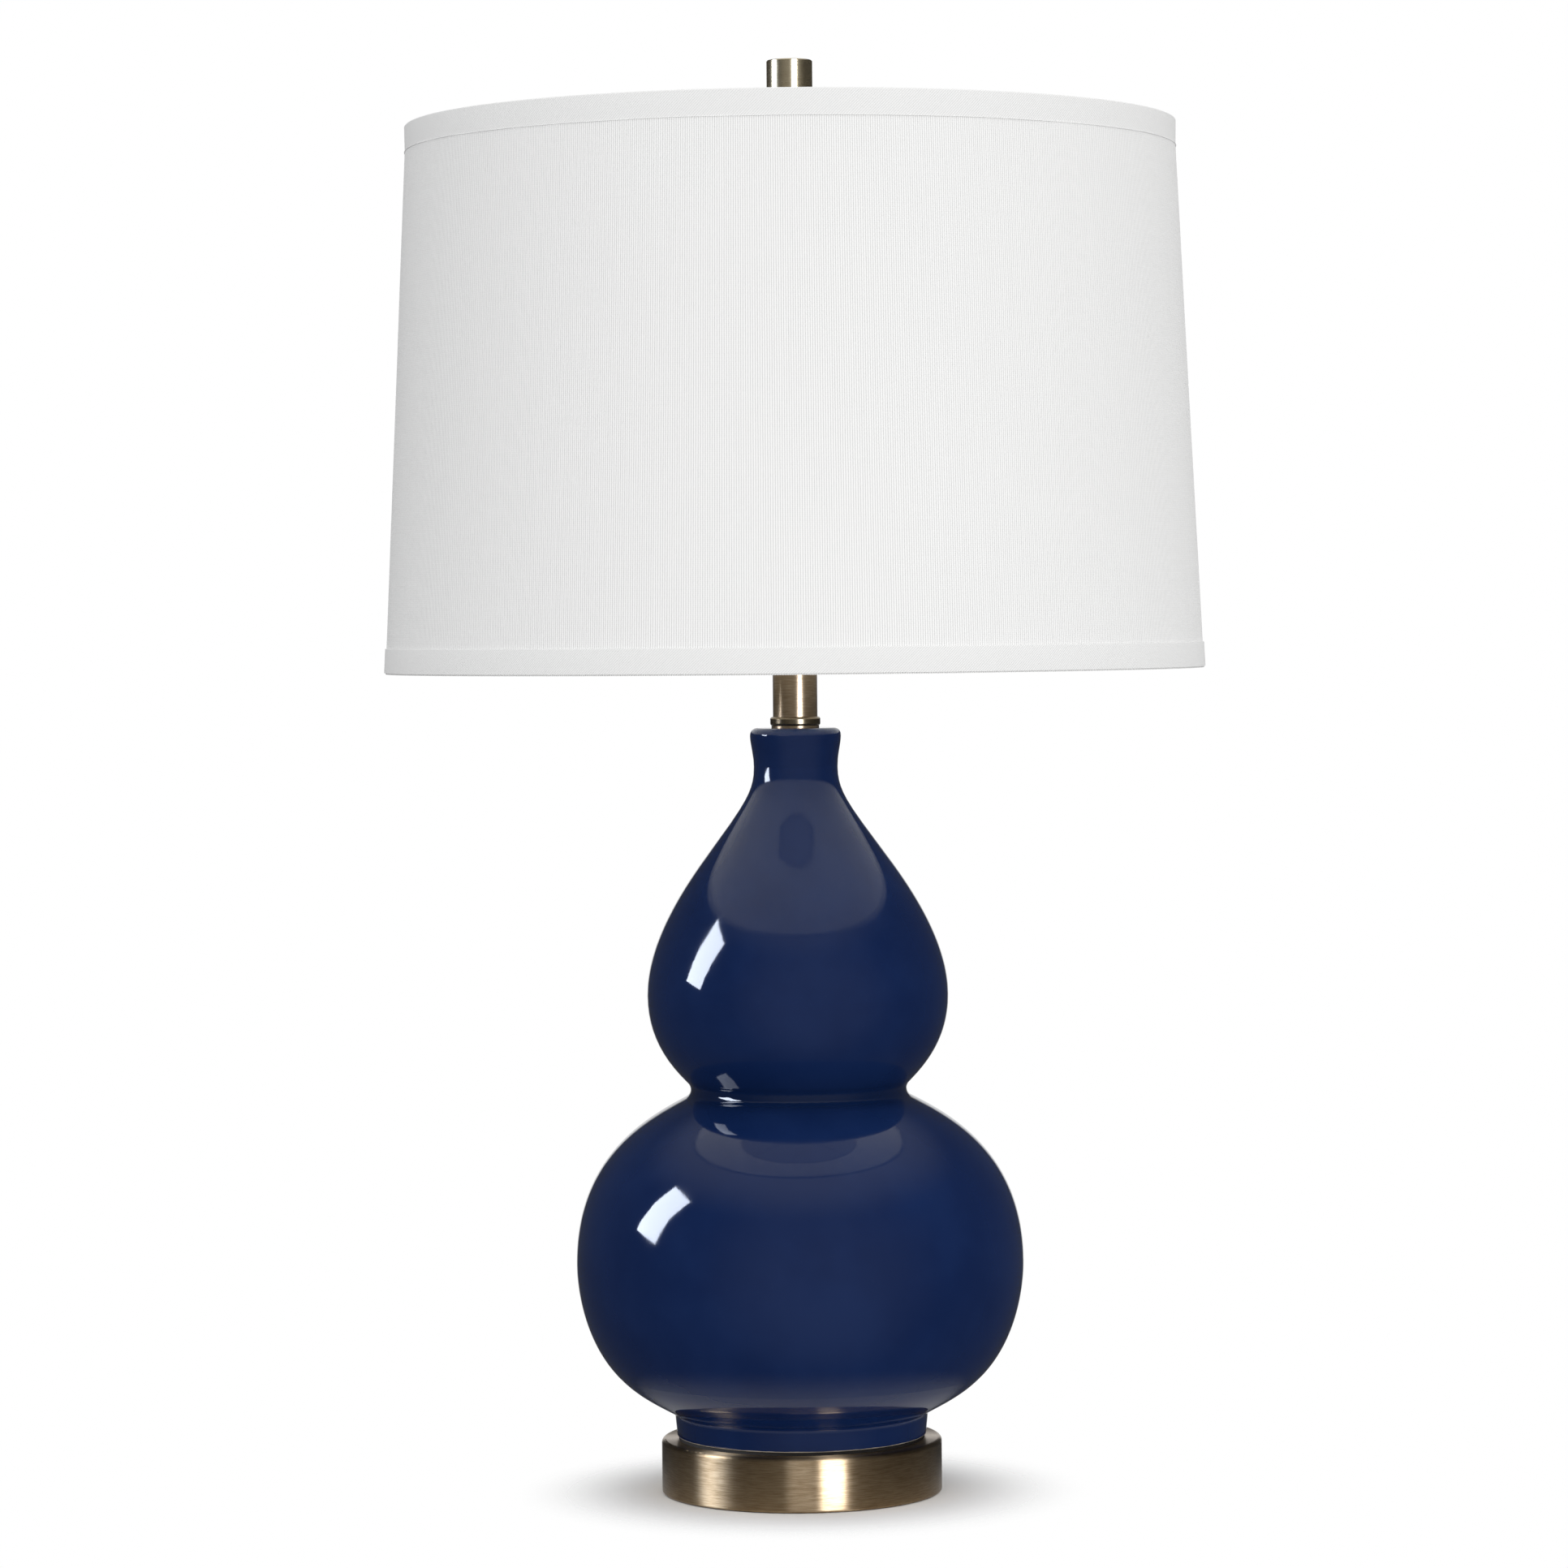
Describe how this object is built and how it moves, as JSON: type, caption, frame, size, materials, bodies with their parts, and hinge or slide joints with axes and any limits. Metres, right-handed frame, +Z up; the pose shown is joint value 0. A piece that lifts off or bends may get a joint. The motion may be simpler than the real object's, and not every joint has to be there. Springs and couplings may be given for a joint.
{
  "type": "table lamp",
  "caption": "Table lamp: glazed double gourd ceramic body on a round metal base, with a harp, a tapered drum shade and a plain cylinder finial",
  "frame": {"origin": "centre of the underside of the base, on the surface that the lamp stands on", "axes": "+Z up along the lamp's axis; -Y is the front, where the switch knob points; +X to the right seen from the front"},
  "size_m": [0.4063, 0.4064, 0.7127],
  "materials": {
    "base_felt": "black felt",
    "base_weight": "rough casting",
    "base_shell": "brushed antique brass",
    "cord_bushing": "moulded",
    "threaded_rod": "zinc plated",
    "rod_washer": "zinc plated",
    "rod_nut": "zinc plated",
    "foot_gasket": "smooth",
    "ceramic_body": "glossy navy glaze",
    "neck_ring": "brushed antique brass",
    "neck_collar": "brushed antique brass",
    "neck_tube": "brushed antique brass",
    "harp_saddle": "plated steel look",
    "socket_cap": "antique brass",
    "socket_shell": "antique brass",
    "socket_liner": "plain",
    "socket_block": "moulded",
    "socket_screw_shell": "plain",
    "socket_contact": "plain",
    "terminal_screws": "plain",
    "knob_spindle": "plain",
    "turn_knob": "fluted",
    "bulb_contact": "solder",
    "bulb_insulator": "black glass",
    "bulb_base": "rolled",
    "bulb_glass": "frosted white",
    "harp": "antique brass",
    "sleeve_right": "antique brass",
    "sleeve_left": "antique brass",
    "harp_swivel": "antique brass",
    "shade_spider": "antique brass",
    "shade_top_ring": "plain wire",
    "shade_bottom_ring": "plain wire",
    "shade_liner": "white styrene",
    "shade_fabric": "white linen",
    "shade_top_trim": "white linen tape",
    "shade_bottom_trim": "white linen tape",
    "finial_insert": "plain",
    "finial_barrel": "brushed antique brass"
  },
  "bodies": {
    "stand": {"base_felt": "base_felt", "base_weight": "base_weight", "base_shell": "base_shell", "cord_bushing": "cord_bushing", "threaded_rod": "threaded_rod", "rod_washer": "rod_washer", "rod_nut": "rod_nut", "foot_gasket": "foot_gasket", "ceramic_body": "ceramic_body", "neck_ring": "neck_ring", "neck_collar": "neck_collar", "neck_tube": "neck_tube", "harp_saddle": "harp_saddle", "socket_cap": "socket_cap", "socket_shell": "socket_shell", "socket_liner": "socket_liner", "socket_block": "socket_block", "socket_screw_shell": "socket_screw_shell", "socket_contact": "socket_contact", "terminal_screws": "terminal_screws"},
    "switch": {"knob_spindle": "knob_spindle", "turn_knob": "turn_knob"},
    "bulb_tip": {"bulb_contact": "bulb_contact"},
    "bulb": {"bulb_insulator": "bulb_insulator", "bulb_base": "bulb_base", "bulb_glass": "bulb_glass"},
    "harp": {"harp": "harp"},
    "right_sleeve": {"sleeve_right": "sleeve_right"},
    "left_sleeve": {"sleeve_left": "sleeve_left"},
    "swivel": {"harp_swivel": "harp_swivel"},
    "shade": {"shade_spider": "shade_spider", "shade_top_ring": "shade_top_ring", "shade_bottom_ring": "shade_bottom_ring", "shade_liner": "shade_liner", "shade_fabric": "shade_fabric", "shade_top_trim": "shade_top_trim", "shade_bottom_trim": "shade_bottom_trim"},
    "finial_core": {"finial_insert": "finial_insert"},
    "finial": {"finial_barrel": "finial_barrel"}
  },
  "joints": [
    {"name": "knob_turn", "type": "hinge", "parent": "stand", "child": "switch", "pos_m": [0, -0.0175, 0.4486], "axis": [0, -1, 0], "continuous": true},
    {"name": "bulb_rise", "type": "slide", "parent": "stand", "child": "bulb_tip", "axis": [0, 0, 1], "range_m": [0, 0.024]},
    {"name": "bulb_turn", "type": "hinge", "parent": "bulb_tip", "child": "bulb", "pos_m": [0, 0, 0.48], "axis": [0, 0, 1], "range_deg": [0, 2340]},
    {"name": "harp_lift", "type": "slide", "parent": "stand", "child": "harp", "axis": [0, 0, 1], "range_m": [0, 0.012]},
    {"name": "right_sleeve_slide", "type": "slide", "parent": "harp", "child": "right_sleeve", "axis": [0, 0, 1], "range_m": [0, 0.015]},
    {"name": "left_sleeve_slide", "type": "slide", "parent": "harp", "child": "left_sleeve", "axis": [0, 0, 1], "range_m": [0, 0.015]},
    {"name": "shade_turn", "type": "hinge", "parent": "harp", "child": "swivel", "pos_m": [0, 0, 0.6605], "axis": [0, 0, 1], "continuous": true},
    {"name": "shade_lift", "type": "slide", "parent": "swivel", "child": "shade", "axis": [0, 0, 1], "range_m": [0, 0.28]},
    {"name": "finial_rise", "type": "slide", "parent": "shade", "child": "finial_core", "axis": [0, 0, 1], "range_m": [0, 0.0086]},
    {"name": "finial_turn", "type": "hinge", "parent": "finial_core", "child": "finial", "pos_m": [0, 0, 0.69], "axis": [0, 0, 1], "range_deg": [0, 3240]}
  ],
  "couplings": [
    {"joint": "bulb_rise", "follows": "bulb_turn", "m_per_rad": 0.00057758},
    {"joint": "finial_rise", "follows": "finial_turn", "m_per_rad": 0.00014972}
  ]
}
